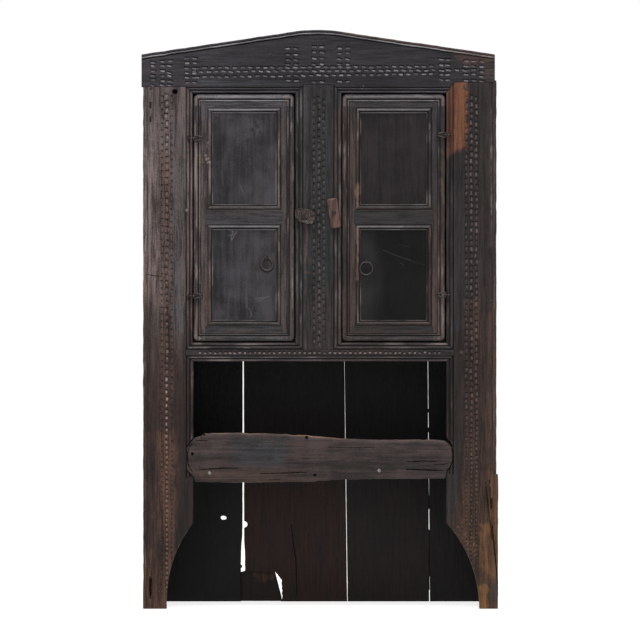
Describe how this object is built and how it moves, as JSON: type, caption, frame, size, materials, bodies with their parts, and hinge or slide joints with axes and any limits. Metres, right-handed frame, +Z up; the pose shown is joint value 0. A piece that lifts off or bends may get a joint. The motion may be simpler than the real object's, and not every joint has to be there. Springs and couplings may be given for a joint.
{
  "type": "trastero cabinet",
  "caption": "Tall gabled cabinet with panelled doors on wire eyes, turn buttons, ring pulls, an open shelf behind a slat and cut-out feet.",
  "frame": {"origin": "on the floor, under the middle of the case", "axes": "+X to the right of someone who faces the front, +Y to the back, +Z up"},
  "size_m": [1.035, 0.451, 1.6806],
  "materials": {
    "frame_wood": "dark aged pine, waxed by handling, worn at the edges",
    "panel_wood": "dark aged pine, dull and slightly grey",
    "plank_wood": "rough sawn pine, dark reddish brown",
    "worn_wood": "dry, weathered and worn pine",
    "red_wood": "smooth reddish wood, worn",
    "iron": "forged iron wire, dark, lightly rusted"
  },
  "bodies": {
    "case": {"back_nails": "iron", "back_patch_board": "plank_wood", "back_plank_centre_left": "plank_wood", "back_plank_centre_right": "plank_wood", "back_plank_left": "plank_wood", "back_plank_right": "plank_wood", "button_nails": "iron", "centre_muntin": "frame_wood", "cupboard_floor": "plank_wood", "cupboard_floor_left_cleat": "plank_wood", "cupboard_floor_right_cleat": "plank_wood", "cupboard_shelf": "plank_wood", "cupboard_shelf_left_cleat": "plank_wood", "cupboard_shelf_right_cleat": "plank_wood", "frame_pegs": "frame_wood", "left_side_front_plank": "plank_wood", "left_side_rear_plank": "plank_wood", "left_stile": "frame_wood", "left_stile_hinge_eyes": "iron", "lower_shelf": "plank_wood", "lower_shelf_left_cleat": "plank_wood", "lower_shelf_right_cleat": "plank_wood", "lower_slat": "worn_wood", "middle_rail": "frame_wood", "pediment_board": "frame_wood", "right_side_front_plank": "plank_wood", "right_side_rear_plank": "plank_wood", "right_stile": "frame_wood", "right_stile_hinge_eyes": "iron", "slat_nails": "iron", "top_front_board": "plank_wood", "top_nails": "iron", "top_rear_board": "plank_wood"},
    "left_door": {"left_door_bottom_rail": "frame_wood", "left_door_hinge_eyes": "iron", "left_door_hinge_stile": "frame_wood", "left_door_lock_rail": "frame_wood", "left_door_lock_stile": "frame_wood", "left_door_lower_panel": "panel_wood", "left_door_pegs": "frame_wood", "left_door_top_rail": "frame_wood", "left_door_upper_panel": "panel_wood", "left_pull_eye": "iron"},
    "right_door": {"right_door_bottom_rail": "frame_wood", "right_door_hinge_eyes": "iron", "right_door_hinge_stile": "frame_wood", "right_door_lock_rail": "frame_wood", "right_door_lock_stile": "frame_wood", "right_door_lower_panel": "panel_wood", "right_door_pegs": "frame_wood", "right_door_top_rail": "frame_wood", "right_door_upper_panel": "panel_wood", "right_pull_eye": "iron"},
    "left_ring": {"left_ring_pull": "iron"},
    "right_ring": {"right_ring_pull": "iron"},
    "left_button": {"left_turn_button": "worn_wood"},
    "right_button": {"right_turn_button": "red_wood"}
  },
  "joints": [
    {"name": "left_door_swing", "type": "hinge", "parent": "case", "child": "left_door", "pos_m": [-0.36525, -0.2107, 1.1365], "axis": [0, 0, -1], "range_deg": [0, 150]},
    {"name": "right_door_swing", "type": "hinge", "parent": "case", "child": "right_door", "pos_m": [0.36525, -0.2107, 1.143], "axis": [0, 0, 1], "range_deg": [0, 150]},
    {"name": "left_ring_swing", "type": "hinge", "parent": "left_door", "child": "left_ring", "pos_m": [-0.153, -0.2069, 1.027], "axis": [-1, 0, 0], "range_deg": [-10, 180]},
    {"name": "right_ring_swing", "type": "hinge", "parent": "right_door", "child": "right_ring", "pos_m": [0.135, -0.2069, 1.006], "axis": [-1, 0, 0], "range_deg": [-7, 180]},
    {"name": "left_button_turn", "type": "hinge", "parent": "case", "child": "left_button", "pos_m": [-0.0477, -0.2104, 1.1446], "axis": [0, 1, 0], "continuous": true},
    {"name": "right_button_turn", "type": "hinge", "parent": "case", "child": "right_button", "pos_m": [0.0413, -0.2104, 1.1498], "axis": [0, 1, 0], "continuous": true}
  ]
}
